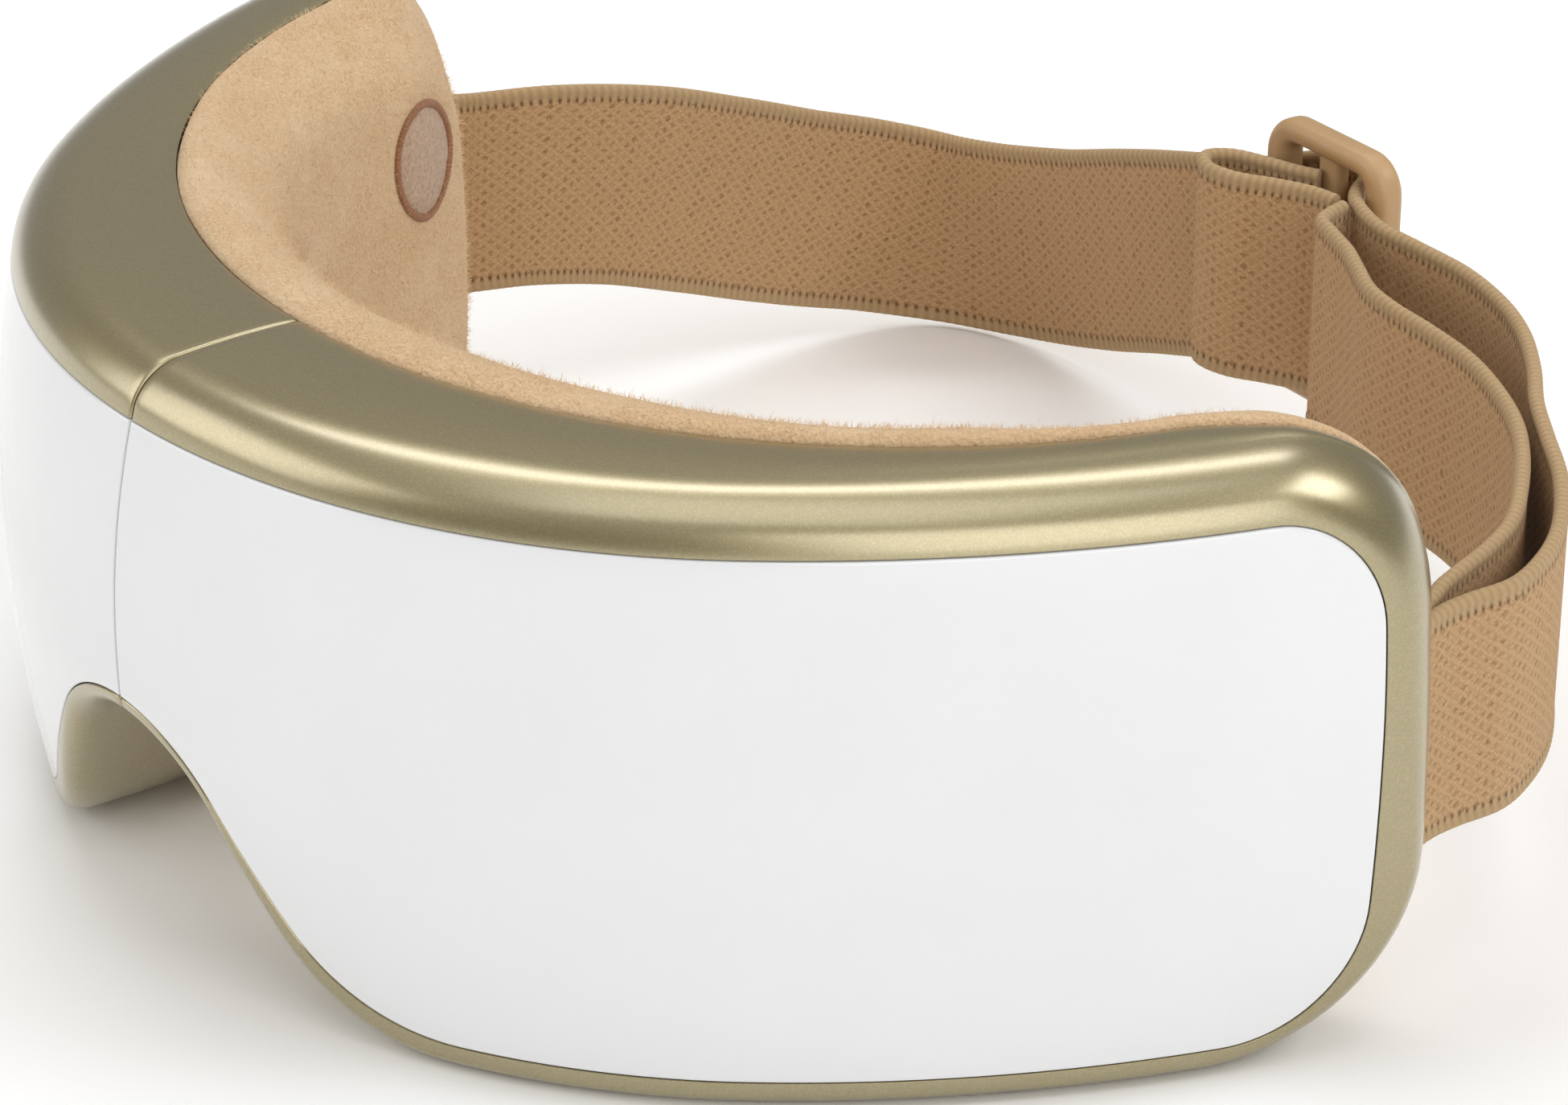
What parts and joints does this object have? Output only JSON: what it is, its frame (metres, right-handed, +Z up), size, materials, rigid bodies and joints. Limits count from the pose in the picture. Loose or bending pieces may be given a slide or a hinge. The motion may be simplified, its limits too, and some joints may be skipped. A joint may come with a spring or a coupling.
{
  "type": "eye massager mask",
  "caption": "Folding padded eye massager mask: curved gold casings with gloss white covers, a nose notch, velour face pads and an elastic head strap with a slider.",
  "frame": {"origin": "middle of the whole outline, strap included, on the surface that the mask rests on", "axes": "+X the wearer's left, -Y the front, +Z up; the halves meet at X = 0"},
  "size_m": [0.2146, 0.1934, 0.0755],
  "materials": {
    "board_green": "solder-masked board",
    "button_grey": "satin champagne plastic",
    "cable_flat": "white flat cable",
    "cell_film": "welded dark film",
    "chromed": "bright plated",
    "gold_paint": "satin champagne-gold metallic paint on moulded casing",
    "heater_film": "amber film with printed track",
    "inner_plastic": "light grey moulded plastic",
    "lamp_clear": "frosted light pipe",
    "lining": "tan velour face lining over foam",
    "patch_cloth": "pinkish fleece patch with a brown stitched rim",
    "pouch_foil": "foil pouch",
    "rubber_dark": "soft dark rubber",
    "slider_plastic": "tan moulded plastic",
    "steel": "plain steel",
    "strap_elastic": "tan knitted elastic with overlocked edges",
    "tube_silicone": "milky soft tube",
    "weight_brass": "sintered heavy metal",
    "white_gloss": "high-gloss white cover"
  },
  "bodies": {
    "left_half": {"left_air_cell": "cell_film", "left_anchor_bar": "steel", "left_back_plate": "inner_plastic", "left_face_pad": "lining", "left_front_cover": "white_gloss", "left_heating_film": "heater_film", "left_hinge_leaf": "steel", "left_housing": "gold_paint", "left_motor_cradle": "rubber_dark", "left_screws": "steel", "left_speaker": "rubber_dark", "left_strap_stub": "strap_elastic", "left_temple_patch": "patch_cloth", "left_vibration_motor": "chromed", "battery": "pouch_foil", "main_board": "board_green", "key_board": "board_green", "key_switches": "chromed", "charge_port": "chromed", "light_pipe": "lamp_clear", "hinge_pin": "steel", "cross_tube": "tube_silicone", "ribbon_cable": "cable_flat"},
    "right_half": {"right_air_cell": "cell_film", "right_anchor_bar": "steel", "right_back_plate": "inner_plastic", "right_face_pad": "lining", "right_front_cover": "white_gloss", "right_heating_film": "heater_film", "right_hinge_leaf": "steel", "right_housing": "gold_paint", "right_motor_cradle": "rubber_dark", "right_screws": "steel", "right_speaker": "rubber_dark", "right_strap_stub": "strap_elastic", "right_temple_patch": "patch_cloth", "right_vibration_motor": "chromed", "pump_motor": "chromed", "pump_cradle": "rubber_dark", "pump_body": "inner_plastic", "valve_body": "inner_plastic", "air_tube": "tube_silicone"},
    "near_strap": {"strap_outer": "strap_elastic", "strap_inner": "strap_elastic"},
    "far_strap": {"strap_far": "strap_elastic"},
    "slider_group": {"slider": "slider_plastic", "strap_tail": "strap_elastic"},
    "power_button": {"power_button": "button_grey"},
    "mode_button": {"mode_button": "button_grey"},
    "left_weight": {"left_motor_weight": "weight_brass"},
    "right_weight": {"right_motor_weight": "weight_brass"},
    "pump_crank": {"pump_eccentric": "inner_plastic"},
    "valve_rod": {"valve_plunger": "chromed"}
  },
  "joints": [
    {"name": "fold", "type": "hinge", "parent": "left_half", "child": "right_half", "pos_m": [0, -0.06945, 0.0524], "axis": [0, 0, -1], "range_deg": [0, 80], "deforming": ["cross_tube", "ribbon_cable"]},
    {"name": "near_strap_swing", "type": "hinge", "parent": "left_half", "child": "near_strap", "pos_m": [0.1005, 0.00995, 0.037], "axis": [0, 0, -1], "range_deg": [0, 81], "deforming": ["strap_outer", "strap_inner"]},
    {"name": "far_strap_swing", "type": "hinge", "parent": "near_strap", "child": "far_strap", "pos_m": [0.003, 0.09195, 0.037], "axis": [0, 0, 1], "range_deg": [0, 77], "deforming": ["strap_far"]},
    {"name": "slider_travel", "type": "slide", "parent": "far_strap", "child": "slider_group", "axis": [-1, 0, 0], "range_m": [0, 0.015], "deforming": ["strap_tail"]},
    {"name": "power_press", "type": "slide", "parent": "left_half", "child": "power_button", "axis": [0, 0, 1], "range_m": [0, 0.0006], "stiffness_N_per_m": 800, "springref_m": -0.0004},
    {"name": "mode_press", "type": "slide", "parent": "left_half", "child": "mode_button", "axis": [0, 0, 1], "range_m": [0, 0.0006], "stiffness_N_per_m": 800, "springref_m": -0.0004},
    {"name": "left_weight_spin", "type": "hinge", "parent": "left_half", "child": "left_weight", "pos_m": [0.0288, -0.07525, 0.0624], "axis": [0, 0, 1], "continuous": true},
    {"name": "right_weight_spin", "type": "hinge", "parent": "right_half", "child": "right_weight", "pos_m": [-0.0288, -0.07525, 0.0624], "axis": [0, 0, 1], "continuous": true},
    {"name": "pump_spin", "type": "hinge", "parent": "right_half", "child": "pump_crank", "pos_m": [-0.06766, -0.05111, 0.0322], "axis": [0, 0, 1], "continuous": true},
    {"name": "valve_stroke", "type": "slide", "parent": "right_half", "child": "valve_rod", "axis": [0, 0, 1], "range_m": [0, 0.0015], "stiffness_N_per_m": 100, "springref_m": -0.0005}
  ],
  "couplings": [
    {"joint": "near_strap_swing", "follows": "fold", "ratio": 1},
    {"joint": "far_strap_swing", "follows": "fold", "ratio": 0.96}
  ]
}
